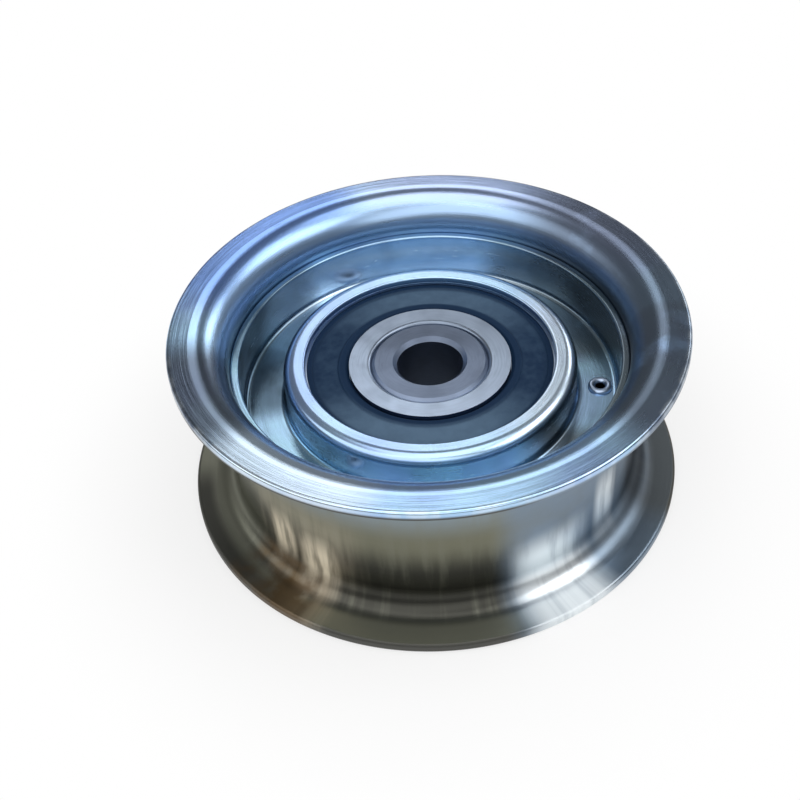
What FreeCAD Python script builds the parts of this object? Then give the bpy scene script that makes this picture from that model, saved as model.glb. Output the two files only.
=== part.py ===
import FreeCAD, Part
import math
import os
import Sketcher

# Sheet-metal idler pulley on a sealed ball bearing, lying on its lower flange.
# Millimetres. The origin is the centre of the bolt bore, halfway between the flanges, and +Z is the axis.
# Radii build outwards from the bearing's bore, so that each piece follows the one that it sits on.
SIZES = {
    # Ball bearing, 17 x 40 x 12
    "bearing_bore": 17.0,
    "bearing_width": 12.0,
    "ring_wall": 3.6,           # of both rings, at their shoulders
    "land_gap": 4.3,            # between the shoulders of the two rings
    "ring_corner": 0.6,
    "ball_count": 8,
    "ball_diameter": 6.747,
    "ball_play": 0.03,          # between a ball and the bottom of each raceway
    "race_radius": 3.54,
    # Seats of the seals in the rings
    "seat_depth": 1.2,
    "seat_width": 1.4,          # floor of the outer ring's seat, from its shoulder outwards
    "seat_undercut": 0.3,
    "undercut_height": 0.5,
    "step_height": 0.4,         # of the inner ring's step, under the seal's lip
    # Ball cage, two pressed halves
    "cage_sheet": 0.6,
    "cage_width": 2.6,
    "pocket_play": 0.12,
    "cage_rivet_shank": 1.0,
    "cage_rivet_head": 1.6,
    "cage_rivet_head_height": 0.3,
    "cage_rivet_play": 0.03,
    # Seals, rubber on a steel washer
    "seal_recess": 0.2,         # top of the seal below the face of the ring
    "seal_skin": 0.3,           # rubber over the washer
    "bead_width": 1.1,
    "core_sheet": 0.35,
    "core_lift": 0.15,          # washer above the floor of the seat
    "core_inset": 0.7,          # from the mouth of the seat to the washer's edge
    "core_flange": 0.25,        # height of the washer's upturned edge
    "lip_play": 0.08,           # between the seal's lip and the inner ring
    "lip_reach": 0.9,           # from the inner ring's step to the washer
    "lip_slope": 0.6,
    "lip_edge": 0.2,            # height of the lip's edge
    "ridge_width": 0.9,         # of the raised ring round the lip
    # Spacer bushing
    "bolt_bore": 9.6,
    "bore_chamfer": 0.6,
    "bushing_chamfer": 0.5,
    # Hub cups, two stampings back to back
    "cup_sheet": 1.2,
    "trough_width": 6.1,        # between the sleeve and the wall of a cup
    "web_bend": 0.8,            # inside radius
    "lip_bend": 0.5,            # inside radius of the lip that holds the bearing
    "lip_margin": 0.2,          # from the mouth of the seal's seat to the lip
    "cup_setback": 0.7,         # from the flange's bend to the top of a cup's wall
    "cup_edge": 0.3,
    # Semi-tubular rivets through both webs
    "rivet_count": 3,
    "rivet_inset": 2.7,         # from the wall of a cup to a rivet's axis
    "rivet_shank": 2.6,
    "rivet_play": 0.05,
    "rivet_head": 3.6,
    "rivet_head_height": 0.65,
    "rivet_roll_height": 0.55,
    "rivet_round": 0.5,
    "rivet_hollow": 1.4,
    "rivet_hollow_depth": 1.55,
    # Rim, one sheet
    "pulley_width": 27.8,
    "rim_sheet": 1.5,
    "flange_height": 6.5,
    "flange_bend": 3.5,         # between the belt face and a flange
    "rim_edge": 0.45,
}

# Radii that several pieces share, as formulas of the sheet's cells
BORE_R = "(sizes.bearing_bore / 2)"
INNER_LAND_R = f"({BORE_R} + sizes.ring_wall)"
OUTER_LAND_R = f"({INNER_LAND_R} + sizes.land_gap)"
PITCH_R = f"(({INNER_LAND_R} + {OUTER_LAND_R}) / 2)"
BEARING_R = f"({OUTER_LAND_R} + sizes.ring_wall)"
STEP_R = f"({INNER_LAND_R} - sizes.step_height)"
SEAT_R = f"({OUTER_LAND_R} + sizes.seat_width)"
UNDERCUT_R = f"({SEAT_R} + sizes.seat_undercut)"
SLEEVE_R = f"({BEARING_R} + sizes.cup_sheet)"
CUP_WALL_R = f"({SLEEVE_R} + sizes.trough_width)"
TUBE_R = f"({CUP_WALL_R} + sizes.cup_sheet)"
BELT_R = f"({TUBE_R} + sizes.rim_sheet)"
RIM_R = f"({BELT_R} + sizes.flange_height)"
BALL_R = "(sizes.ball_diameter / 2)"
POCKET_R = f"({BALL_R} + sizes.pocket_play)"
DOME_R = f"({POCKET_R} + sizes.cage_sheet)"

# Heights above the middle plane
BEARING_TOP = "(sizes.bearing_width / 2)"
SEAT_FLOOR = f"({BEARING_TOP} - sizes.seat_depth)"
UNDERCUT_TOP = f"({SEAT_FLOOR} + sizes.undercut_height)"
SEAT_MOUTH = f"({UNDERCUT_TOP} + sizes.seat_undercut)"
CORE_LOW = f"({SEAT_FLOOR} + sizes.core_lift)"
CORE_TOP = f"({CORE_LOW} + sizes.core_sheet)"
RIM_TOP = "(sizes.pulley_width / 2)"

UPSIDE_DOWN = FreeCAD.Placement(FreeCAD.Vector(), FreeCAD.Rotation(FreeCAD.Vector(1, 0, 0), 180))

doc = FreeCAD.newDocument("idler_pulley")
sheet = doc.addObject("Spreadsheet::Sheet", "sizes")
for row, (alias, size) in enumerate(SIZES.items(), start=1):
    sheet.set(f"A{row}", str(size))
    sheet.setAlias(f"A{row}", alias)
doc.recompute()


def value(formula):
    return float(sheet.evalExpression(formula))


def new_body(node):
    body = doc.addObject("PartDesign::Body", node)
    body.Label = node
    return body


def origin_feature(body, role):
    return next(feature for feature in body.Origin.OriginFeatures if feature.Role == role)


def new_sketch(body, name, plane="XZ_Plane"):
    sketch = body.newObject("Sketcher::SketchObject", name)
    sketch.AttachmentSupport = (origin_feature(body, plane), [""])
    sketch.MapMode = "FlatFace"
    return sketch


def drive(sketch, kind, places, formula):
    """Dimension between the given places, bound to the formula."""
    index = sketch.addConstraint(Sketcher.Constraint(kind, *places, value(formula)))
    name = f"size_{index}"
    sketch.renameConstraint(index, name)
    sketch.setExpression(f"Constraints.{name}", formula)


def pin_down(sketch, geometry, end, across, up):
    """Hold a point at its distances from the origin. A distance of "0" holds it on the axis."""
    for kind, axis, formula in (("DistanceX", -2, across), ("DistanceY", -1, up)):
        if formula == "0":
            sketch.addConstraint(Sketcher.Constraint("PointOnObject", geometry, end, axis))
        else:
            drive(sketch, kind, (-1, 1, geometry, end), formula)


def tangent_points(before, corner, after, radius):
    """Where an arc of this radius leaves and meets the edges of a corner, and the arc's centre."""
    back = (before - corner).normalize()
    ahead = (after - corner).normalize()
    half_angle = back.getAngle(ahead) / 2
    run = radius / math.tan(half_angle)
    centre = corner + (back + ahead).normalize() * (radius / math.sin(half_angle))
    return corner + back * run, corner + ahead * run, centre


def round_corner(sketch, into, out, corner, spot, bend):
    """Arc between two edges, tangent to both, with the sharp corner kept as a construction point."""
    start, finish, centre = bend
    circle = Part.Circle(centre, FreeCAD.Vector(0, 0, 1), (start - centre).Length)
    angles = [math.atan2(end.y - centre.y, end.x - centre.x) for end in (start, finish)]
    turns_left = (start - centre).cross(finish - centre).z > 0
    first, last = (1, 2) if turns_left else (2, 1)
    if not turns_left:
        angles.reverse()
    arc = sketch.addGeometry(Part.ArcOfCircle(circle, *angles), False)
    sketch.addConstraint(Sketcher.Constraint("Tangent", into, 2, arc, first))
    sketch.addConstraint(Sketcher.Constraint("Tangent", arc, last, out, 1))
    drive(sketch, "Radius", (arc,), corner[2])
    point = sketch.addGeometry(Part.Point(spot), True)
    sketch.addConstraint(Sketcher.Constraint("PointOnObject", point, 1, into))
    sketch.addConstraint(Sketcher.Constraint("PointOnObject", point, 1, out))
    pin_down(sketch, point, 1, corner[0], corner[1])


def draw_outline(sketch, corners):
    """Closed outline. A corner is (across, up) or (across, up, radius), each one a formula."""
    spots = [FreeCAD.Vector(value(corner[0]), value(corner[1]), 0) for corner in corners]
    after = spots[1:] + spots[:1]
    bends = []
    for index, corner in enumerate(corners):
        bend = (spots[index], spots[index], None)
        if len(corner) == 3:
            bend = tangent_points(spots[index - 1], spots[index], after[index], value(corner[2]))
        bends.append(bend)
    edges = []
    for bend, next_bend in zip(bends, bends[1:] + bends[:1]):
        edges.append(sketch.addGeometry(Part.LineSegment(bend[1], next_bend[0]), False))
    for index, corner in enumerate(corners):
        into, out = edges[index - 1], edges[index]
        if len(corner) == 3:
            round_corner(sketch, into, out, corner, spots[index], bends[index])
        else:
            sketch.addConstraint(Sketcher.Constraint("Coincident", into, 2, out, 1))
            pin_down(sketch, out, 1, corner[0], corner[1])


def draw_circle(sketch, across, up, radius):
    centre = FreeCAD.Vector(value(across), value(up), 0)
    circle = sketch.addGeometry(Part.Circle(centre, FreeCAD.Vector(0, 0, 1), value(radius)), False)
    pin_down(sketch, circle, 3, across, up)
    drive(sketch, "Radius", (circle,), radius)


def both_sides(corners):
    """The corners above the middle plane, followed by their mirror images below it."""
    below = [(corner[0], f"-{corner[1]}", *corner[2:]) for corner in reversed(corners)]
    return corners + below


def revolve(body, sketch, kind="Revolution"):
    """Turn a section round its sketch's upright axis."""
    feature = body.newObject(f"PartDesign::{kind}", f"{sketch.Name}_turned")
    feature.Profile = sketch
    feature.ReferenceAxis = (sketch, ["V_Axis"])
    feature.Angle = 360
    doc.recompute()
    return feature


def must_be_less(body, before, feature):
    if body.Shape.Volume >= before:
        raise RuntimeError(f"{feature.Label} cuts nothing")


def turn_away(body, sketch):
    """Turn a section round its sketch's upright axis and take that form away."""
    before = body.Shape.Volume
    must_be_less(body, before, revolve(body, sketch, "Groove"))


def cut_through(body, sketch):
    """Cut a sketch's circles through the body, above and below the sketch."""
    before = body.Shape.Volume
    pocket = body.newObject("PartDesign::Pocket", f"{sketch.Name}_cut")
    pocket.Profile = sketch
    pocket.Type = "ThroughAll"
    pocket.Midplane = True
    doc.recompute()
    must_be_less(body, before, pocket)
    return pocket


def repeat_round(body, feature, count):
    """Repeat a feature round the pulley's axis."""
    pattern = body.newObject("PartDesign::PolarPattern", f"{feature.Name}_round")
    pattern.Originals = [feature]
    pattern.Axis = (origin_feature(body, "Z_Axis"), [""])
    pattern.Angle = 360
    pattern.setExpression("Occurrences", count)
    body.Tip = pattern
    doc.recompute()


def turned_body(node, corners):
    """Body of one turned section."""
    body = new_body(node)
    section = new_sketch(body, f"{node}_section")
    draw_outline(section, corners)
    revolve(body, section)
    return body


def make_belt_rim():
    """Tube with a flat belt face, flared at both ends to a flat flange."""
    flange_under = f"({RIM_TOP} - sizes.rim_sheet)"
    return turned_body("belt_rim", both_sides([
        (BELT_R, flange_under, "sizes.flange_bend"),
        (RIM_R, flange_under, "sizes.rim_edge"),
        (RIM_R, RIM_TOP, "sizes.rim_edge"),
        (TUBE_R, RIM_TOP, "sizes.flange_bend + sizes.rim_sheet"),
    ]))


def make_hub_cup(node):
    """Stamping with a lip over the bearing, a sleeve round it, a flat web and a wall in the rim's tube."""
    lip_r = f"({SEAT_R} + sizes.lip_margin)"
    wall_top = f"({RIM_TOP} - sizes.rim_sheet - sizes.flange_bend - sizes.cup_setback)"
    body = turned_body(node, [
        (lip_r, BEARING_TOP, "sizes.cup_edge"),
        (BEARING_R, BEARING_TOP, "sizes.lip_bend"),
        (BEARING_R, "0", "sizes.web_bend + sizes.cup_sheet"),
        (TUBE_R, "0", "sizes.web_bend + sizes.cup_sheet"),
        (TUBE_R, wall_top, "sizes.cup_edge"),
        (CUP_WALL_R, wall_top, "sizes.cup_edge"),
        (CUP_WALL_R, "sizes.cup_sheet", "sizes.web_bend"),
        (SLEEVE_R, "sizes.cup_sheet", "sizes.web_bend"),
        (SLEEVE_R, f"{BEARING_TOP} + sizes.cup_sheet", "sizes.lip_bend + sizes.cup_sheet"),
        (lip_r, f"{BEARING_TOP} + sizes.cup_sheet", "sizes.cup_edge"),
    ])
    hole = new_sketch(body, f"{node}_rivet_hole", "XY_Plane")
    draw_circle(hole, f"{CUP_WALL_R} - sizes.rivet_inset", "0", "sizes.rivet_shank / 2 + sizes.rivet_play")
    repeat_round(body, cut_through(body, hole), "sizes.rivet_count")
    return body


def make_rivets(node, corners, distance, count):
    """Equal rivets round the pulley, each one turned about its own axis at this distance from the centre."""
    body = new_body(node)
    body.AllowCompound = True
    section = new_sketch(body, f"{node}_section")
    section.setExpression("AttachmentOffset.Base.x", distance)
    draw_outline(section, corners)
    repeat_round(body, revolve(body, section), count)
    return body


def make_hub_rivets():
    """Head under the lower web, hollow end rolled over on the upper web."""
    shank_r = "sizes.rivet_shank / 2"
    head_r = "sizes.rivet_head / 2"
    hollow_r = "sizes.rivet_hollow / 2"
    head_low = "-(sizes.cup_sheet + sizes.rivet_head_height)"
    roll_top = "(sizes.cup_sheet + sizes.rivet_roll_height)"
    hollow_floor = f"{roll_top} - sizes.rivet_hollow_depth"
    return make_rivets("hub_rivets", [
        ("0", head_low),
        (head_r, head_low, "sizes.rivet_round"),
        (head_r, "-sizes.cup_sheet"),
        (shank_r, "-sizes.cup_sheet"),
        (shank_r, "sizes.cup_sheet"),
        (head_r, "sizes.cup_sheet"),
        (head_r, roll_top, "sizes.rivet_round"),
        (hollow_r, roll_top, "sizes.rivet_round"),
        (hollow_r, hollow_floor),
        ("0", hollow_floor),
    ], f"{CUP_WALL_R} - sizes.rivet_inset", "sizes.rivet_count")


def cut_raceway(body, node, centre_r):
    groove = new_sketch(body, f"{node}_raceway")
    draw_circle(groove, centre_r, "0", "sizes.race_radius")
    turn_away(body, groove)


def make_outer_ring():
    """Ring with a raceway and, at each face, an undercut seat for a seal."""
    node = "bearing_outer_ring"
    body = turned_body(node, both_sides([
        (OUTER_LAND_R, SEAT_FLOOR),
        (UNDERCUT_R, SEAT_FLOOR),
        (UNDERCUT_R, UNDERCUT_TOP),
        (SEAT_R, SEAT_MOUTH),
        (SEAT_R, BEARING_TOP),
        (BEARING_R, BEARING_TOP, "sizes.ring_corner"),
    ]))
    cut_raceway(body, node, f"{PITCH_R} + {BALL_R} + sizes.ball_play - sizes.race_radius")
    return body


def make_inner_ring():
    """Ring with a raceway and, at each face, a step that a seal's lip runs on."""
    node = "bearing_inner_ring"
    body = turned_body(node, both_sides([
        (INNER_LAND_R, SEAT_FLOOR),
        (STEP_R, SEAT_FLOOR),
        (STEP_R, BEARING_TOP),
        (BORE_R, BEARING_TOP, "sizes.ring_corner"),
    ]))
    cut_raceway(body, node, f"{PITCH_R} - {BALL_R} - sizes.ball_play + sizes.race_radius")
    return body


def make_ball(node, number):
    ball = doc.addObject("Part::Sphere", node)
    ball.Label = node
    ball.setExpression("Radius", BALL_R)
    turn = f"360deg * {number} / sizes.ball_count"
    ball.setExpression("Placement.Base.x", f"{PITCH_R} * cos({turn})")
    ball.setExpression("Placement.Base.y", f"{PITCH_R} * sin({turn})")
    return ball


def add_sphere(body, kind, name, radius):
    """Sphere round the first ball's centre, added or taken away, and repeated for each ball."""
    sphere = body.newObject(f"PartDesign::{kind}Sphere", name)
    sphere.AttachmentSupport = (origin_feature(body, "XY_Plane"), [""])
    sphere.MapMode = "FlatFace"
    sphere.setExpression("AttachmentOffset.Base.x", PITCH_R)
    sphere.setExpression("Radius", radius)
    doc.recompute()
    repeat_round(body, sphere, "sizes.ball_count")


def make_cage_half(node):
    """Pressed ring of flat lands and domed pockets, cut to one width all round."""
    inside_r = f"({PITCH_R} - sizes.cage_width / 2)"
    outside_r = f"({PITCH_R} + sizes.cage_width / 2)"
    body = new_body(node)
    lands = new_sketch(body, f"{node}_lands", "XY_Plane")
    draw_circle(lands, "0", "0", outside_r)
    draw_circle(lands, "0", "0", inside_r)
    pad = body.newObject("PartDesign::Pad", f"{node}_pad")
    pad.Profile = lands
    pad.setExpression("Length", "sizes.cage_sheet")
    doc.recompute()
    add_sphere(body, "Additive", f"{node}_domes", DOME_R)

    # A block with room round every dome is turned away, all but the cage's own band above the middle plane.
    trim = new_sketch(body, f"{node}_trim")
    room = f"({DOME_R} + {BALL_R})"
    block_r = f"({PITCH_R} + {room})"
    draw_outline(trim, [("0", f"-{room}"), (block_r, f"-{room}"), (block_r, room), ("0", room)])
    band_top = f"({DOME_R} + sizes.cage_sheet)"
    draw_outline(trim, [(inside_r, "0"), (outside_r, "0"), (outside_r, band_top), (inside_r, band_top)])
    turn_away(body, trim)

    add_sphere(body, "Subtractive", f"{node}_pockets", POCKET_R)
    hole = new_sketch(body, f"{node}_rivet_hole", "XY_Plane")
    half_pitch = "180deg / sizes.ball_count"
    hole_r = "sizes.cage_rivet_shank / 2 + sizes.cage_rivet_play"
    draw_circle(hole, f"{PITCH_R} * cos({half_pitch})", f"{PITCH_R} * sin({half_pitch})", hole_r)
    repeat_round(body, cut_through(body, hole), "sizes.ball_count")
    return body


def make_cage_rivets():
    """Rivets through the lands, halfway between the balls."""
    shank_r = "sizes.cage_rivet_shank / 2"
    head_r = "sizes.cage_rivet_head / 2"
    head_top = "(sizes.cage_sheet + sizes.cage_rivet_head_height)"
    body = make_rivets("cage_rivets", both_sides([
        (shank_r, "sizes.cage_sheet"),
        (head_r, "sizes.cage_sheet"),
        (head_r, head_top),
        ("0", head_top),
    ]), PITCH_R, "sizes.ball_count")
    body.setExpression("Placement.Rotation.Angle", "180deg / sizes.ball_count")
    return body


def make_seal(node):
    """Rubber disc on a steel washer, with a bead in the outer ring's seat and a lip round the inner ring."""
    seal_top = f"({BEARING_TOP} - sizes.seal_recess)"
    skin_top = f"({CORE_TOP} + sizes.seal_skin)"
    core_out_r = f"({SEAT_R} - sizes.core_inset)"
    core_in_r = f"({STEP_R} + sizes.lip_reach)"
    ridge_r = f"({STEP_R} + sizes.lip_slope)"
    lip_r = f"({STEP_R} + sizes.lip_play)"
    slope = f"({seal_top} - {skin_top})"
    return turned_body(node, [
        (f"{SEAT_R} - sizes.bead_width", SEAT_FLOOR),
        (UNDERCUT_R, SEAT_FLOOR),
        (UNDERCUT_R, UNDERCUT_TOP),
        (SEAT_R, SEAT_MOUTH),
        (SEAT_R, seal_top),
        (core_out_r, seal_top),
        (f"{core_out_r} - {slope}", skin_top),
        (f"{ridge_r} + sizes.ridge_width + {slope}", skin_top),
        (f"{ridge_r} + sizes.ridge_width", seal_top),
        (ridge_r, seal_top),
        (lip_r, CORE_TOP),
        (lip_r, f"{CORE_TOP} - sizes.lip_edge"),
        (ridge_r, CORE_LOW),
        (core_in_r, CORE_LOW),
        (core_in_r, CORE_TOP),
        (f"{core_out_r} - sizes.core_sheet", CORE_TOP),
        (f"{core_out_r} - sizes.core_sheet", f"{CORE_TOP} + sizes.core_flange"),
        (core_out_r, f"{CORE_TOP} + sizes.core_flange"),
        (core_out_r, CORE_LOW),
        (f"{SEAT_R} - sizes.bead_width", CORE_LOW),
    ])


def make_seal_core(node):
    """Thin steel washer with its outer edge turned up."""
    core_out_r = f"({SEAT_R} - sizes.core_inset)"
    return turned_body(node, [
        (f"{STEP_R} + sizes.lip_reach", CORE_LOW),
        (core_out_r, CORE_LOW),
        (core_out_r, f"{CORE_TOP} + sizes.core_flange"),
        (f"{core_out_r} - sizes.core_sheet", f"{CORE_TOP} + sizes.core_flange"),
        (f"{core_out_r} - sizes.core_sheet", CORE_TOP),
        (f"{STEP_R} + sizes.lip_reach", CORE_TOP),
    ])


def make_bushing():
    """Plain bushing, as long as the bearing is wide, with all four edges chamfered."""
    bolt_r = "sizes.bolt_bore / 2"
    return turned_body("spacer_bushing", both_sides([
        (BORE_R, f"({BEARING_TOP} - sizes.bushing_chamfer)"),
        (f"{BORE_R} - sizes.bushing_chamfer", BEARING_TOP),
        (f"{bolt_r} + sizes.bore_chamfer", BEARING_TOP),
        (bolt_r, f"({BEARING_TOP} - sizes.bore_chamfer)"),
    ]))


def upside_down(body):
    body.Placement = UPSIDE_DOWN
    return body


pieces = [
    make_belt_rim(),
    make_hub_cup("upper_hub_cup"),
    upside_down(make_hub_cup("lower_hub_cup")),
    make_hub_rivets(),
    make_outer_ring(),
    make_inner_ring(),
    make_cage_half("upper_cage_half"),
    upside_down(make_cage_half("lower_cage_half")),
    make_cage_rivets(),
    make_seal("upper_seal"),
    make_seal_core("upper_seal_core"),
    upside_down(make_seal("lower_seal")),
    upside_down(make_seal_core("lower_seal_core")),
    make_bushing(),
]
for number in range(int(value("sizes.ball_count"))):
    pieces.append(make_ball(f"ball_{number + 1}", number))
doc.recompute()

failed = [item.Label for item in doc.Objects if {"Invalid", "Error"} & set(item.State)]
failed += [piece.Label for piece in pieces if piece.Shape.isNull() or not piece.Shape.isValid()]
if failed:
    raise RuntimeError("these objects failed: " + ", ".join(failed))

os.makedirs("parts", exist_ok=True)
for piece in pieces:
    piece.Shape.exportStep(f"parts/{piece.Label}.step")
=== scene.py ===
import math

import bpy
from mathutils import Matrix, Vector


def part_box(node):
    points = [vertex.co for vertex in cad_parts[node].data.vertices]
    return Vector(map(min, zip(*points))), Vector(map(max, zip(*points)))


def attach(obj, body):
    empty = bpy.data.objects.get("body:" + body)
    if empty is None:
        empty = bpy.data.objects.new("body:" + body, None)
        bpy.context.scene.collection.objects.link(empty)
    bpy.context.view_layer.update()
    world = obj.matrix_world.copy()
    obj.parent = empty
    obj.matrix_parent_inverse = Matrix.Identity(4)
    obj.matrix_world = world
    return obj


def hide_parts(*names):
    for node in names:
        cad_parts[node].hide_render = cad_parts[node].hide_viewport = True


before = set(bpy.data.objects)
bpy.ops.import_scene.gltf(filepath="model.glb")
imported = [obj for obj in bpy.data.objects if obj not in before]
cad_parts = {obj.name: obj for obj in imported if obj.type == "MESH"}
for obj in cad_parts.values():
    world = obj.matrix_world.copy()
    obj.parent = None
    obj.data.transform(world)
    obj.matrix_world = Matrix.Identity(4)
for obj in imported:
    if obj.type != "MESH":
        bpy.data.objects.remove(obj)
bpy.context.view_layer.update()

# Places on the pulley, in metres. Its axis is Z and its middle plane is at 0.
MM = 0.001
RIM_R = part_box("belt_rim")[1][0]
RIM_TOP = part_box("belt_rim")[1][2]
TUBE_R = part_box("upper_hub_cup")[1][0]
CUP_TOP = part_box("upper_hub_cup")[1][2]
BEARING_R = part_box("bearing_outer_ring")[1][0]
BEARING_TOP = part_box("bearing_outer_ring")[1][2]
INNER_RING_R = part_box("bearing_inner_ring")[1][0]
SEAL_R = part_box("upper_seal")[1][0]
RIM_SHEET = 1.5 * MM
RIM_EDGE = 0.45 * MM
FLANGE_BEND = 3.5 * MM
BELT_R = TUBE_R + RIM_SHEET
FLANGE_UNDER = RIM_TOP - RIM_SHEET
CUP_SHEET = 1.2 * MM
CUP_EDGE = 0.3 * MM
WEB_BEND = 0.8 * MM
LIP_BEND = 0.5 * MM
LIP_R = BEARING_R - 2.0 * MM
RIVET_CIRCLE_R = TUBE_R - CUP_SHEET - 2.7 * MM
RIVET_HOLE_R = 1.35 * MM
RIVETS = 3

# Fineness of the turned pieces. A flat strip beside each bend keeps the faces next to it shining flat.
TURN_STEPS = 288
BEND_STEPS = 10
HOLE_STEPS = 48
FLAT_STRIP = 0.1 * MM
SHARP_DEGREES = 30.0

# Colours of the finishes. Many stand for painted reflections, highlights and shade, as said where they are
# used
ZINC_BLUE = (0.35, 0.51, 0.84)
ZINC_CYAN = (0.42, 0.64, 0.88)
ZINC_LAVENDER = (0.45, 0.54, 0.80)
ZINC_TEAL = (0.36, 0.58, 0.73)
ZINC_DEEP = (0.36, 0.53, 0.75)
ZINC_SLATE = (0.21, 0.27, 0.34)
ZINC_SCUFF_AND_SHADE = (0.10, 0.115, 0.145)
ZINC_COBALT = (0.21, 0.36, 0.78)
ZINC_PALE = (0.66, 0.78, 0.90)
ZINC_WORN_HIGHLIGHT = (0.78, 0.86, 0.93)
HIGHLIGHT_WHITE = (0.88, 0.94, 0.97)
HUB_SHADE_AND_GRIME = (0.07, 0.11, 0.15)
HUB_SHADOW = (0.13, 0.15, 0.16)
REFLECTION_GREY = (0.26, 0.32, 0.36)
REFLECTION_OLIVE = (0.19, 0.19, 0.14)
REFLECTION_MOSS = (0.22, 0.225, 0.18)
REFLECTION_SLATE = (0.085, 0.105, 0.13)
SHADE_BLACK = (0.060, 0.060, 0.052)
TAN_HIGHLIGHT = (0.74, 0.66, 0.50)
FILM_RUST = (0.11, 0.070, 0.032)
RING_STEEL = (0.33, 0.40, 0.51)
BUSHING_STEEL = (0.22, 0.27, 0.37)
RIVET_STEEL = (0.42, 0.52, 0.68)
HOLLOW_SHADE = (0.02, 0.022, 0.03)
BALL_STEEL = (0.66, 0.68, 0.72)
CAGE_STEEL = (0.40, 0.40, 0.42)
CORE_STEEL = (0.36, 0.37, 0.40)
RUBBER_NAVY = (0.005, 0.020, 0.052)
RUBBER_DUST_AND_SHEEN = (0.080, 0.135, 0.205)
WHITE = (1.0, 1.0, 1.0)

# Where marks lie round the axis: direction, reach and blur in degrees. 0 is right and -90 is in front.
# Nearly all of these place painted reflections, highlights and shade round the axis
LAVENDER_BACK = (70, 28, 30)
COBALT_LEFT = (145, 20, 16)
PALE_FRONT = (-118, 12, 13)
SHADED_LEFT = (-152, 10, 12)
SHADED_RIGHT = (15, 34, 24)
SHADED_FRONT = (-14, 18, 14)
MOSSY_LEFT = (-170, 12, 28)
SLATE_RIGHT = (-8, 24, 18)
BLACK_LEFT = (-148, 16, 12)
BARE_RIGHT = (-44, 16, 12)
HIGHLIGHT_RIGHT = (-54, 2, 12)
SHADED_CUP_LEFT = (162, 18, 14)
SHADED_WEB_LEFT = (178, 12, 12)
PALE_BACK = (100, 30, 35)
SHADOW_BACK = (58, 8, 14)
CLEAR_RIVET = (-4, 12, 12)
LIT_LIP = (-4, 20, 40)
SHADED_BACK = (90, 40, 50)
LIT_FRONT = (-90, 40, 50)
SHEEN_FRONT = (-90, 20, 50)

# Patches on the channel: as above, then height, reach and blur along the axis, and the patch's strength
# Painted tan highlights on the belt face
TAN_HIGHLIGHT_PATCHES = [
    (-130, 0, 6, -6.0 * MM, 0.5 * MM, 7.0 * MM, 1.0),
    (-118, 0, 8, -7.5 * MM, 1.0 * MM, 7.0 * MM, 1.0),
    (-124, 6, 16, -4.0 * MM, 2.0 * MM, 7.0 * MM, 0.25),
]
RUST_PATCH = (-127, 6, 9, -12.0 * MM, 1.5 * MM, 1.5 * MM, 0.9)
# Painted highlight streak on the belt face
HIGHLIGHT_PATCH = (-34, 0, 6, -4.5 * MM, 1.0 * MM, 7.0 * MM, 1.0)

# Where marks set in across the section: the radius, height or depth with none of them, and with all
INSIDE = (TUBE_R + FLANGE_BEND, TUBE_R + 1.0 * MM)
THROAT = (11.0 * MM, 9.0 * MM)
EDGE_WEAR_AND_HIGHLIGHT = (RIM_R - 0.9 * MM, RIM_R - 0.2 * MM)
LOWER_EDGE = (RIM_R - 0.9 * MM, RIM_R - 0.5 * MM)
LOWER_HALF = (0.0, -1.0 * MM)
CHANNEL_SKIN = (0.9 * MM, 0.4 * MM)
FLANGE = (BELT_R + 2.0 * MM, BELT_R + 3.8 * MM)
BLACK_BAND = (RIM_R - 4.0 * MM, RIM_R - 1.5 * MM)
BLACK_EDGE = (RIM_R - 0.5 * MM, RIM_R - 0.2 * MM)
OLIVE_BELOW = (7.0 * MM, 0.5 * MM)
MOSS_BELOW = (8.0 * MM, 2.0 * MM)
BLACK_BELOW = (1.0 * MM, -5.0 * MM)
HIGHLIGHT_BELOW = (-1.0 * MM, -7.0 * MM)
LIP_OUTSIDE = (BEARING_R + 1.2 * MM, BEARING_R + 0.6 * MM)
LIP_ABOVE = (4.5 * MM, 6.3 * MM)
WEB_BELOW = (2.4 * MM, 1.5 * MM)
CUP_EDGE_BELOW = (8.0 * MM, 7.4 * MM)

# A rivet's hollow by height, where shade is painted, and the seal's flat face by radius: middle, reach and
# blur
RIVET_HOLLOW = (0.6 * MM, 0.55 * MM, 0.1 * MM)
SEAL_FACE = ((INNER_RING_R + SEAL_R) / 2, 1.3 * MM, 1.0 * MM)

# How much faster the rings' noise runs up a wall than across a flat face
RING_CLIMB = 1.3

# Depths of the marks in the surfaces
SHEET_WAVES = 0.05 * MM
RIM_LINES = 0.006 * MM
CUP_LINES = 0.005 * MM
TURNED_LINES = 0.004 * MM
STEEL_GRAIN = 0.004 * MM
RUBBER_LINES = 0.02 * MM
RUBBER_GRAIN = 0.01 * MM


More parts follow.
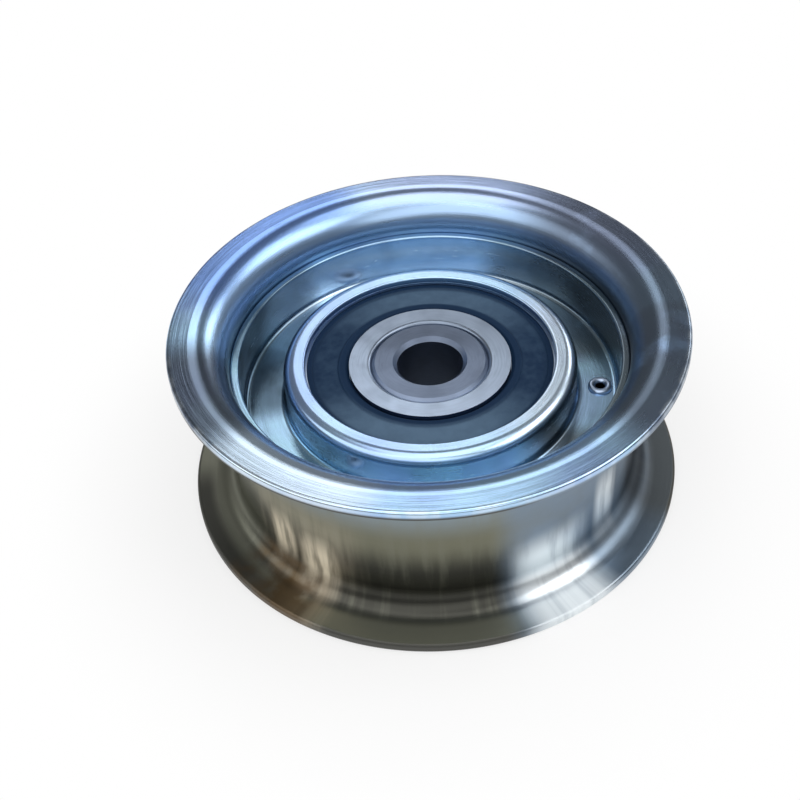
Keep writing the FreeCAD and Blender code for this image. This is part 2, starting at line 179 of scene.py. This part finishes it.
class Wire:
    """One value of a finish. Python's operators on it add Math nodes."""

    def __init__(self, finish, socket):
        self.finish = finish
        self.socket = socket

    def maths(self, operation, *values):
        return self.finish.node("ShaderNodeMath", {"operation": operation}, dict(enumerate(values)))

    def __add__(self, other):
        return self.maths("ADD", self, other)

    def __radd__(self, other):
        return self.maths("ADD", other, self)

    def __sub__(self, other):
        return self.maths("SUBTRACT", self, other)

    def __rsub__(self, other):
        return self.maths("SUBTRACT", other, self)

    def __mul__(self, other):
        return self.maths("MULTIPLY", self, other)

    def __rmul__(self, other):
        return self.maths("MULTIPLY", other, self)

    def __truediv__(self, other):
        return self.maths("DIVIDE", self, other)

    def __rtruediv__(self, other):
        return self.maths("DIVIDE", other, self)

    def __pow__(self, other):
        return self.maths("POWER", self, other)

    def __rpow__(self, other):
        return self.maths("POWER", other, self)

    def __abs__(self):
        return self.maths("ABSOLUTE", self)

    def at_least(self, other):
        return self.maths("MAXIMUM", self, other)

    def at_most(self, other):
        return self.maths("MINIMUM", self, other)

    def ramp(self, low, high):
        """0 up to low and 1 from high on, with a soft start and end. Low may be the larger one."""
        inputs = {"Value": self, "From Min": low, "From Max": high}
        return self.finish.node("ShaderNodeMapRange", {"interpolation_type": "SMOOTHSTEP"}, inputs)

    def near(self, centre, reach, blur):
        """1 within reach of the centre, falling to 0 over the blur on both sides."""
        return abs(self - centre).ramp(reach + blur, reach)


class Finish:
    """A material. Its marks are laid out round the pulley's axis."""

    def __init__(self, name):
        self.material = bpy.data.materials.new(name)
        self.material.use_nodes = True
        self.tree = self.material.node_tree
        self.tree.nodes.clear()
        self.place = self.node("ShaderNodeTexCoord", output="Object")
        x, y, self.z = [self.node("ShaderNodeSeparateXYZ", None, {0: self.place}, axis) for axis in "XYZ"]
        self.radius = (x * x + y * y) ** 0.5
        self.east = x / self.radius
        self.north = y / self.radius

    def node(self, kind, settings=None, inputs=None, output=0):
        """Add a node: its settings first, then the values and links of its sockets."""
        node = self.tree.nodes.new(kind)
        for name, setting in (settings or {}).items():
            setattr(node, name, setting)
        for name, value in (inputs or {}).items():
            if isinstance(value, Wire):
                self.tree.links.new(value.socket, node.inputs[name])
            else:
                node.inputs[name].default_value = value
        return Wire(self, node.outputs[output]) if node.outputs else None

    def mix(self, amount, first, second):
        """Colour between two colours."""
        inputs = {"Factor": amount, 6: opaque(first), 7: opaque(second)}
        return self.node("ShaderNodeMix", {"data_type": "RGBA"}, inputs, 2)

    def noise(self, place, scale, detail):
        return self.node("ShaderNodeTexNoise", inputs={"Vector": place, "Scale": scale, "Detail": detail})

    def cloud(self, size, detail=3.0, shift=0.0):
        """Even noise from 0 to 1, with features of this size. A shift gives another pattern."""
        inputs = {0: self.place, 1: (shift, shift, shift)}
        return self.noise(self.node("ShaderNodeVectorMath", {"operation": "ADD"}, inputs), 1 / size, detail)

    def rings(self, width, breaks, detail=2.0):
        """Noise of rings round the axis: this wide, and broken about this many times in a turn."""
        across = (self.radius + self.z * RING_CLIMB) / width
        inputs = {0: self.east * breaks, 1: self.north * breaks, 2: across}
        return self.noise(self.node("ShaderNodeCombineXYZ", inputs=inputs), 1.0, detail)

    def streaks(self, width, length, detail=3.0):
        """Noise of streaks along the axis, this wide on the belt face and this long."""
        count = BELT_R / width
        inputs = {0: self.east * count, 1: self.north * count, 2: self.z / length}
        return self.noise(self.node("ShaderNodeCombineXYZ", inputs=inputs), 1.0, detail)

    def towards(self, degrees, reach, blur):
        """1 within reach of a direction from the axis, falling to 0 over the blur. All in degrees."""
        turn = math.radians(degrees)
        along = self.east * math.cos(turn) + self.north * math.sin(turn)
        return along.ramp(math.cos(math.radians(reach + blur)), math.cos(math.radians(reach)))

    def patch(self, degrees, reach, blur, height, rise, fade, amount):
        """Up to this amount in a direction from the axis and at a height, falling to 0 over both blurs."""
        return self.towards(degrees, reach, blur) * self.z.near(height, rise, fade) * amount

    def bump(self, height, depth, under=None):
        inputs = {"Height": height, "Distance": depth, "Strength": 1.0}
        if under:
            inputs["Normal"] = under
        return self.node("ShaderNodeBump", inputs=inputs)

    def surface(self, colour, roughness, normal, **others):
        """Plain metal, apart from what is given for the shader's other sockets."""
        inputs = {"Base Color": opaque(colour), "Roughness": roughness, "Normal": normal, "Metallic": 1.0}
        inputs.update({name.replace("_", " "): value for name, value in others.items()})
        return self.show(self.node("ShaderNodeBsdfPrincipled", inputs=inputs))

    def show(self, shader):
        self.node("ShaderNodeOutputMaterial", inputs={"Surface": shader})
        return self.material


def add_object(name, data):
    item = bpy.data.objects.new(name, data)
    bpy.context.scene.collection.objects.link(item)
    return item


def opaque(colour):
    """The colour with an alpha of 1, or the wire as it is."""
    return colour if isinstance(colour, Wire) else (*colour, 1.0)


def clear_zinc(finish):
    """Clear bluish zinc on sheet: its colour and its roughness."""
    scuffs = finish.rings(0.35 * MM, 9.0, 4.0).ramp(0.60, 0.72) * finish.cloud(6 * MM).ramp(0.5, 0.7)
    rings = finish.rings(0.9 * MM, 3.0)
    colour = finish.mix(finish.cloud(16 * MM).ramp(0.38, 0.62), ZINC_BLUE, ZINC_CYAN)
    colour = finish.mix(scuffs * 0.3, colour, ZINC_SCUFF_AND_SHADE)
    colour = finish.mix(rings.ramp(0.3, 0.8) * 0.2, colour, ZINC_DEEP)
    return colour, 0.16 + rings * 0.10 + scuffs * 0.15


def painted_dull_shade(finish):
    """Amount of painted shade, which runs across the right of the pulley."""
    dull_shade = (finish.towards(*SHADED_RIGHT) * 0.75).at_least(finish.towards(*SHADED_FRONT) * 0.85)
    return dull_shade * finish.cloud(7 * MM, 4.0, 3.0).ramp(0.05, 0.45)


def rolled_marks(finish, depth):
    """Bump of fine turning marks over a slight unevenness of the sheet."""
    uneven = finish.bump(finish.cloud(9 * MM, 1.0), SHEET_WAVES)
    lines = finish.rings(0.12 * MM, 4.0, 1.0) + finish.rings(0.6 * MM, 2.0, 1.0) * 1.5
    return finish.bump(lines, depth, uneven)


def painted_channel(finish):
    """Colour of the channel, and how matt it is: painted reflections and shade, with painted highlights and
    zinc showing at the right, and some rust.
    """
    z = finish.z
    patches = finish.cloud(6 * MM, 4.0, 7.0)
    streaks = finish.streaks(1.6 * MM, 12 * MM)
    flange = finish.radius.ramp(*FLANGE)
    edge = finish.radius.ramp(*BLACK_EDGE)
    # Painted reflections: grey high on the belt face and olive lower down, a painted dark band at its foot,
    # olive on the flange, darker at the right, and painted black shade at the front left and at the edge
    channel_paint = finish.mix(z.ramp(*OLIVE_BELOW), REFLECTION_GREY, REFLECTION_OLIVE)
    channel_paint = finish.mix((z + streaks * 2.0 * MM).ramp(*BLACK_BELOW), channel_paint, SHADE_BLACK)
    channel_paint = finish.mix(flange, channel_paint, REFLECTION_MOSS)
    channel_paint = finish.mix(finish.towards(*MOSSY_LEFT) * z.ramp(*MOSS_BELOW), channel_paint, REFLECTION_MOSS)
    channel_paint = finish.mix(streaks.ramp(0.45, 0.75) * 0.35, channel_paint, REFLECTION_MOSS)
    channel_paint = finish.mix(finish.towards(*SLATE_RIGHT) * 0.8, channel_paint, REFLECTION_SLATE)
    channel_paint = finish.mix(finish.towards(*BLACK_LEFT) * finish.radius.ramp(*BLACK_BAND), channel_paint, SHADE_BLACK)
    channel_paint = finish.mix(edge, channel_paint, SHADE_BLACK)

    # Painted tan highlights, broken into streaks, with rust below
    tan = finish.patch(*TAN_HIGHLIGHT_PATCHES[0])
    for place in TAN_HIGHLIGHT_PATCHES[1:]:
        tan = tan.at_least(finish.patch(*place))
    tan = tan * (0.45 + streaks.ramp(0.30, 0.55) * 0.55)
    rust = finish.patch(*RUST_PATCH) * patches.ramp(0.30, 0.55)
    channel_paint = finish.mix(rust, finish.mix(tan, channel_paint, TAN_HIGHLIGHT), FILM_RUST)

    # Zinc shows at the right, with painted highlights in two places
    bare = finish.towards(*BARE_RIGHT)
    channel_paint = finish.mix(bare * (0.75 + patches.ramp(0.3, 0.6) * 0.25), channel_paint, ZINC_SLATE)
    highlight = (finish.towards(*HIGHLIGHT_RIGHT) * z.ramp(*HIGHLIGHT_BELOW)).at_least(finish.patch(*HIGHLIGHT_PATCH))
    highlight = highlight * (0.6 + streaks.ramp(0.30, 0.55) * 0.4)
    channel_paint = finish.mix(highlight, channel_paint, HIGHLIGHT_WHITE)

    # Matt on the tan highlights, a little on the flange's painted reflection, and most of all under the
    # flange's painted highlight
    matt = (flange * 0.3).at_least(edge * 0.6) * (1.0 - highlight) * (1.0 - bare)
    return channel_paint, tan.at_least(matt).at_least(highlight * flange * 0.9)


def rim_finish():
    """Clear zinc, marked by direction and height, with the belt's film on the side that faces the belt."""
    finish = Finish("rim_zinc")
    height = abs(finish.z)
    colour, roughness = clear_zinc(finish)

    # Painted reflections by direction: lavender behind, cobalt at the left and paler in front. Painted shade
    # at the front left, across the right and deep in the throat. Deeper blue inside, and lighter at the edge
    # from wear and a painted highlight
    inside = finish.radius.ramp(*INSIDE)
    # Painted shade at the front left, broken by noise
    shade_and_grime = finish.towards(*SHADED_LEFT) * finish.cloud(6 * MM, 4.0, 9.0).ramp(0.0, 0.30)
    # Lighter at the edge: wear and a painted highlight
    edge = finish.radius.ramp(*EDGE_WEAR_AND_HIGHLIGHT) * finish.cloud(3 * MM).ramp(0.35, 0.65)
    # Painted shade across the right
    dull_shade = painted_dull_shade(finish)
    colour = finish.mix(finish.towards(*LAVENDER_BACK) * 0.8, colour, ZINC_LAVENDER)
    colour = finish.mix(finish.towards(*COBALT_LEFT) * 0.9, colour, ZINC_COBALT)
    colour = finish.mix(finish.towards(*PALE_FRONT) * 0.75, colour, ZINC_PALE)
    colour = finish.mix(inside * 0.8, colour, ZINC_DEEP)
    # Painted shade deep in the rim's throat, beside the hub
    colour = finish.mix(height.ramp(*THROAT) * 0.5, colour, HUB_SHADE_AND_GRIME)
    colour = finish.mix((shade_and_grime * 0.85).at_least(dull_shade), colour, ZINC_SCUFF_AND_SHADE)
    colour = finish.mix(edge * 0.4, colour, ZINC_WORN_HIGHLIGHT)

    # The channel's painted reflections and shade on the skin that faces the belt, by depth through the sheet
    # and round its bends
    outwards = (BELT_R + FLANGE_BEND - finish.radius).at_least(0.0)
    upwards = (height - (FLANGE_UNDER - FLANGE_BEND)).at_least(0.0)
    depth = (outwards * outwards + upwards * upwards) ** 0.5 - FLANGE_BEND
    lower_edge = finish.z.ramp(*LOWER_HALF) * finish.radius.ramp(*LOWER_EDGE)
    channel = depth.ramp(*CHANNEL_SKIN).at_least(lower_edge)
    channel_paint, matt = painted_channel(finish)
    colour = finish.mix(channel, colour, channel_paint)
    roughness = roughness + (inside + dull_shade) * 0.08 + channel * (0.12 + matt * 0.2)
    metal = 1.0 - channel * matt
    return finish.surface(colour, roughness, rolled_marks(finish, RIM_LINES), Anisotropic=0.5, Metallic=metal)


def hub_finish():
    """Deeper blue than the rim, with painted light on the walls, painted shadow and shade in places, some
    grime, and a painted highlight on the lip.
    """
    finish = Finish("hub_zinc")
    height = abs(finish.z)
    colour, roughness = clear_zinc(finish)
    lip = finish.radius.ramp(*LIP_OUTSIDE) * height.ramp(*LIP_ABOVE)
    web = height.ramp(*WEB_BELOW)
    deep = finish.mix(finish.cloud(11 * MM, 3.0, 2.0).ramp(0.35, 0.65), ZINC_DEEP, ZINC_TEAL)
    # Painted light: paler on the walls, most of all at the back
    pale = (finish.towards(*PALE_BACK) * 0.75).at_least((1.0 - web) * 0.5)
    deep = finish.mix(pale * height.ramp(*CUP_EDGE_BELOW), deep, ZINC_PALE)
    # Painted shadow across the right and at the back, kept off the web beside the rivet
    shadow = painted_dull_shade(finish) * (1.0 - web * finish.towards(*CLEAR_RIVET))
    deep = finish.mix(shadow.at_least(finish.towards(*SHADOW_BACK) * 0.5), deep, HUB_SHADOW)
    # Painted shade at the left of the cup and web, with grime in clouds over all
    left = (finish.towards(*SHADED_CUP_LEFT) * 0.7).at_least(finish.towards(*SHADED_WEB_LEFT) * web * 0.9)
    shade_and_grime = finish.cloud(5 * MM, 4.0, 5.0).ramp(0.45, 0.75) * 0.2 + left
    shade = finish.mix(shade_and_grime.at_most(1.0), deep, HUB_SHADE_AND_GRIME)
    # Painted highlight on the lip, strongest at the right
    lip_highlight = finish.towards(*LIT_LIP) * 0.5 + 0.1
    shade = finish.mix(lip, shade, finish.mix(lip_highlight, colour, ZINC_WORN_HIGHLIGHT))
    return finish.surface(shade, roughness + 0.04, rolled_marks(finish, CUP_LINES), Anisotropic=0.4)


def turned_steel(name, colour, roughness):
    """Turned or ground steel with fine rings and faint clouding, with painted shade at the back and a painted
    highlight in front.
    """
    finish = Finish(name)
    rings = finish.rings(0.25 * MM, 3.0)
    clouds = finish.cloud(4 * MM)
    dark, bright = [[share * part for part in colour] for share in (0.55, 1.5)]
    shade = finish.mix(clouds.ramp(0.4, 0.75) * 0.5, colour, dark)
    shade = finish.mix(rings.ramp(0.4, 0.7) * 0.3, shade, dark)
    shade = finish.mix(finish.towards(*SHADED_BACK) * 0.6, shade, dark)
    shade = finish.mix(finish.towards(*LIT_FRONT) * 0.35, shade, bright)
    return finish.surface(shade, roughness + clouds * 0.12, finish.bump(rings, TURNED_LINES), Anisotropic=0.5)


def plain_steel(name, colour, roughness, hollow=False):
    """Steel of a small part, with no direction in its marks. A rivet's hollow gets painted shade inside."""
    finish = Finish(name)
    clouds = finish.cloud(1.2 * MM, 4.0)
    dark = [0.6 * part for part in colour]
    shade = finish.mix(clouds.ramp(0.35, 0.7) * 0.6, colour, dark)
    if hollow:
        # Painted shade inside the rivet's hollow
        shade = finish.mix(finish.z.near(*RIVET_HOLLOW), shade, HOLLOW_SHADE)
    return finish.surface(shade, roughness + clouds * 0.1, finish.bump(finish.cloud(0.3 * MM), STEEL_GRAIN))


def rubber_finish():
    """Moulded navy rubber, dusty on its flat face, with a painted sheen in front and behind."""
    finish = Finish("seal_rubber")
    dust = finish.cloud(1.6 * MM, 4.0).ramp(0.25, 0.75)
    dust_and_sheen = dust * 0.2 + abs(finish.north).ramp(0.3, 1.0) * 0.6 + finish.towards(*SHEEN_FRONT) * 0.25
    colour = finish.mix(finish.radius.near(*SEAL_FACE) * dust_and_sheen.at_most(1.0), RUBBER_NAVY, RUBBER_DUST_AND_SHEEN)
    lines = finish.bump(finish.rings(0.35 * MM, 2.0), RUBBER_LINES)
    normal = finish.bump(finish.cloud(0.25 * MM), RUBBER_GRAIN, lines)
    return finish.surface(colour, 0.50 + dust * 0.15, normal, Metallic=0.0, Specular_IOR_Level=0.12)


def mirrored(corners):
    """The same corners below the middle plane, in the order that goes on round the section."""
    return [(radius, -height, bend) for radius, height, bend in reversed(corners)]


def rivet_holes(low, high):
    """Mesh of the rivets' holes between two heights."""
    points, faces = [], []
    for rivet in range(RIVETS):
        turn = math.tau * rivet / RIVETS
        start = len(points)
        for height in (low, high):
            for step in range(HOLE_STEPS):
                angle = math.tau * step / HOLE_STEPS
                east = RIVET_CIRCLE_R * math.cos(turn) + RIVET_HOLE_R * math.cos(angle)
                north = RIVET_CIRCLE_R * math.sin(turn) + RIVET_HOLE_R * math.sin(angle)
                points.append((east, north, height))
        bottom = [start + step for step in range(HOLE_STEPS)]
        top = [start + HOLE_STEPS + step for step in range(HOLE_STEPS)]
        faces += [bottom[::-1], top]
        faces += [[bottom[step - 1], bottom[step], top[step], top[step - 1]] for step in range(HOLE_STEPS)]
    mesh = bpy.data.meshes.new("rivet_holes")
    mesh.from_pydata(points, [], faces)
    return mesh


def pierce(piece, low, high):
    """Cut the rivets' holes through the piece between two heights."""
    holes = add_object("rivet_holes", rivet_holes(low, high))
    cut = piece.modifiers.new("rivet_holes", "BOOLEAN")
    cut.object = holes
    cut.solver = "EXACT"
    whole = piece.data
    result = piece.evaluated_get(bpy.context.evaluated_depsgraph_get())
    piece.data = bpy.data.meshes.new_from_object(result)
    piece.data.set_sharp_from_angle(angle=math.radians(SHARP_DEGREES))
    piece.modifiers.remove(cut)
    bpy.data.meshes.remove(whole)
    bpy.data.meshes.remove(holes.data)


def rounded(corners):
    """Points round the section with these corners. A corner is (radius, height, bend)."""
    spots = [Vector(corner[:2]) for corner in corners]
    section = []
    for before, spot, after, corner in zip(spots[-1:] + spots[:-1], spots, spots[1:] + spots[:1], corners):
        back, ahead = (before - spot).normalized(), (after - spot).normalized()
        half, bend = back.angle(ahead) / 2, corner[2]
        start, end = [spot + way * (bend / math.tan(half)) for way in (back, ahead)]
        centre = spot + (back + ahead).normalized() * (bend / math.sin(half))
        arms = [(start - centre).slerp(end - centre, step / BEND_STEPS) for step in range(BEND_STEPS + 1)]
        bend_points = [centre + arm * bend for arm in arms]
        section += [start + back * FLAT_STRIP, *bend_points, end + ahead * FLAT_STRIP]
    return section


def turned_piece(name, corners, finish):
    """Turn the section in finer steps than the frame's mesh, so that its bends shine evenly.

    The piece stands for the node of the same name.
    """
    section = rounded(corners)
    count = len(section)
    points, faces = [], []
    for turn in range(TURN_STEPS):
        angle = math.tau * turn / TURN_STEPS
        here, onward = turn * count, (turn + 1) % TURN_STEPS * count
        for place, (radius, height) in enumerate(section):
            points.append((radius * math.cos(angle), radius * math.sin(angle), height))
            beside = (place + 1) % count
            faces.append((here + place, onward + place, onward + beside, here + beside))
    mesh = bpy.data.meshes.new(name)
    mesh.from_pydata(points, [], faces)
    mesh.shade_smooth()
    mesh.materials.append(finish)
    piece = add_object(f"{name}_turned", mesh)
    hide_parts(name)
    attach(piece, "pulley")
    return piece


rim_zinc = rim_finish()
hub_zinc = hub_finish()
ring_steel = turned_steel("ring_steel", RING_STEEL, roughness=0.24)
cage_steel = plain_steel("cage_steel", CAGE_STEEL, roughness=0.34)
core_steel = turned_steel("core_steel", CORE_STEEL, roughness=0.36)
ball_steel = plain_steel("ball_steel", BALL_STEEL, roughness=0.06)
seal_rubber = rubber_finish()
finishes = {
    "belt_rim": rim_zinc,
    "upper_hub_cup": hub_zinc,
    "lower_hub_cup": hub_zinc,
    "hub_rivets": plain_steel("rivet_steel", RIVET_STEEL, roughness=0.26, hollow=True),
    "bearing_outer_ring": ring_steel,
    "bearing_inner_ring": ring_steel,
    "upper_cage_half": cage_steel,
    "lower_cage_half": cage_steel,
    "cage_rivets": cage_steel,
    "upper_seal": seal_rubber,
    "lower_seal": seal_rubber,
    "upper_seal_core": core_steel,
    "lower_seal_core": core_steel,
    "spacer_bushing": turned_steel("bushing_steel", BUSHING_STEEL, roughness=0.36),
}
for name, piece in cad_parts.items():
    piece.material_slots[0].material = finishes.get(name, ball_steel)

rim_corners = [
    (BELT_R, FLANGE_UNDER, FLANGE_BEND),
    (RIM_R, FLANGE_UNDER, RIM_EDGE),
    (RIM_R, RIM_TOP, RIM_EDGE),
    (TUBE_R, RIM_TOP, FLANGE_BEND + RIM_SHEET),
]
cup_corners = [
    (LIP_R, BEARING_TOP, CUP_EDGE),
    (BEARING_R, BEARING_TOP, LIP_BEND),
    (BEARING_R, 0.0, WEB_BEND + CUP_SHEET),
    (TUBE_R, 0.0, WEB_BEND + CUP_SHEET),
    (TUBE_R, CUP_TOP, CUP_EDGE),
    (TUBE_R - CUP_SHEET, CUP_TOP, CUP_EDGE),
    (TUBE_R - CUP_SHEET, CUP_SHEET, WEB_BEND),
    (BEARING_R + CUP_SHEET, CUP_SHEET, WEB_BEND),
    (BEARING_R + CUP_SHEET, BEARING_TOP + CUP_SHEET, LIP_BEND + CUP_SHEET),
    (LIP_R, BEARING_TOP + CUP_SHEET, CUP_EDGE),
]
turned_piece("belt_rim", rim_corners + mirrored(rim_corners), rim_zinc)
upper_cup = turned_piece("upper_hub_cup", cup_corners, hub_zinc)
lower_cup = turned_piece("lower_hub_cup", mirrored(cup_corners), hub_zinc)
pierce(upper_cup, -WEB_BEND, CUP_SHEET + WEB_BEND)
pierce(lower_cup, -CUP_SHEET - WEB_BEND, WEB_BEND)

# Camera, at the photograph's place. Its pixels count from the top left corner of an 800 by 800 frame.
IMAGE_PIXELS = 800.0
FOCAL_PIXELS = 1235.0
AXIS_ACROSS = 431.6
AXIS_DOWN = 390.7
CAMERA_DISTANCE = 0.1821
CAMERA_AZIMUTH = 5.6
CAMERA_ELEVATION = 42.67
CAMERA_ROLL = -3.14
SENSOR_WIDTH = 36.0
CLIP_START = 0.01

# Floor, in metres. Its white glow grows outwards through the pulley's shadow.
FLOOR_HALF = 3.0
FLOOR_GAP = 0.02 * MM
FLOOR_COLOUR = (0.86, 0.86, 0.86)
SHADOW_NEAR = 0.038
SHADOW_FAR = 0.065
UNDER_GLOW = 0.08
NEAR_GLOW = 0.65
FAR_GLOW = 0.27

# Light: each soft box's azimuth, elevation, width and height of its view in degrees, and radiance
SOFTBOXES = {
    "softbox_behind": (189, 42, 16, 17, 1.75),
    "softbox_overhead": (0, 84, 44, 44, 1.6),
    "softbox_front": (330, 44, 120, 38, 1.3),
    "softbox_right": (90, 48, 50, 26, 2.6),
    "softbox_right_low": (149, 26, 20, 16, 2.8),
}
LAMP_DISTANCE = 1.5
ROOM_LEVEL = 0.22


def direction(azimuth, elevation):
    """From the pulley towards a place around it: azimuth 0 in front, 90 to the right."""
    turn, lift = math.radians(azimuth), math.radians(elevation)
    return Vector((math.sin(turn) * math.cos(lift), -math.cos(turn) * math.cos(lift), math.sin(lift)))


def facing(back, distance):
    """Placement at this distance on the way back from the pulley, facing it."""
    return Matrix.Translation(back * distance) @ (-back).to_track_quat("-Z", "Y").to_matrix().to_4x4()


def make_camera():
    lens = bpy.data.cameras.new("camera")
    lens.sensor_width = SENSOR_WIDTH
    lens.lens = FOCAL_PIXELS / IMAGE_PIXELS * SENSOR_WIDTH
    lens.shift_x = (IMAGE_PIXELS / 2 - AXIS_ACROSS) / IMAGE_PIXELS
    lens.shift_y = (AXIS_DOWN - IMAGE_PIXELS / 2) / IMAGE_PIXELS
    lens.clip_start = CLIP_START
    camera = add_object("camera", lens)
    roll = Matrix.Rotation(math.radians(CAMERA_ROLL), 4, "Z")
    camera.matrix_world = facing(direction(CAMERA_AZIMUTH, CAMERA_ELEVATION), CAMERA_DISTANCE) @ roll
    bpy.context.scene.camera = camera


def make_floor():
    """Pale floor under the lower flange, plain white away from the pulley's soft shadow."""
    mesh = bpy.data.meshes.new("floor")
    height = -RIM_TOP - FLOOR_GAP
    corners = [(x * FLOOR_HALF, y * FLOOR_HALF, height) for x, y in ((-1, -1), (1, -1), (1, 1), (-1, 1))]
    mesh.from_pydata(corners, [], [(0, 1, 2, 3)])
    finish = Finish("floor_white")
    lit = finish.node("ShaderNodeBsdfDiffuse", inputs={"Color": opaque(FLOOR_COLOUR)})
    white = finish.node("ShaderNodeEmission", inputs={"Color": opaque(WHITE), "Strength": 1.0})
    kinds = ("Camera", "Glossy", "Transmission")
    seen, in_metal, through = [finish.node("ShaderNodeLightPath", output=f"Is {kind} Ray") for kind in kinds]
    near = finish.radius.ramp(BELT_R, SHADOW_NEAR) * NEAR_GLOW
    far = finish.radius.ramp(SHADOW_NEAR, SHADOW_FAR) * FAR_GLOW
    amount = (seen + in_metal + through).at_most(1.0) * (near + far + UNDER_GLOW)
    glowing = finish.node("ShaderNodeMixShader", inputs={0: amount, 1: lit, 2: white})
    mesh.materials.append(finish.show(glowing))
    add_object("floor", mesh)


def add_softbox(name, azimuth, elevation, width, height, radiance):
    """Soft box that faces the pulley and fills this width and height of its view, in degrees."""
    lamp = bpy.data.lights.new(name, "AREA")
    lamp.shape = "RECTANGLE"
    lamp.size = 2 * LAMP_DISTANCE * math.tan(math.radians(width / 2))
    lamp.size_y = 2 * LAMP_DISTANCE * math.tan(math.radians(height / 2))
    lamp.energy = radiance * math.pi * lamp.size * lamp.size_y
    add_object(name, lamp).matrix_world = facing(direction(azimuth, elevation), LAMP_DISTANCE)


def make_room():
    """Dim plain room round the soft boxes, with a backdrop that the camera sees as plain white."""
    world = bpy.data.worlds.new("room")
    world.use_nodes = True
    nodes, links = world.node_tree.nodes, world.node_tree.links
    seen, level = nodes.new("ShaderNodeLightPath"), nodes.new("ShaderNodeMapRange")
    level.inputs["To Min"].default_value = ROOM_LEVEL
    nodes["Background"].inputs["Color"].default_value = opaque(WHITE)
    links.new(seen.outputs["Is Camera Ray"], level.inputs["Value"])
    links.new(level.outputs["Result"], nodes["Background"].inputs["Strength"])
    bpy.context.scene.world = world


make_camera()
make_floor()
make_room()
for name, settings in SOFTBOXES.items():
    add_softbox(name, *settings)
bpy.context.scene.view_settings.view_transform = "Standard"
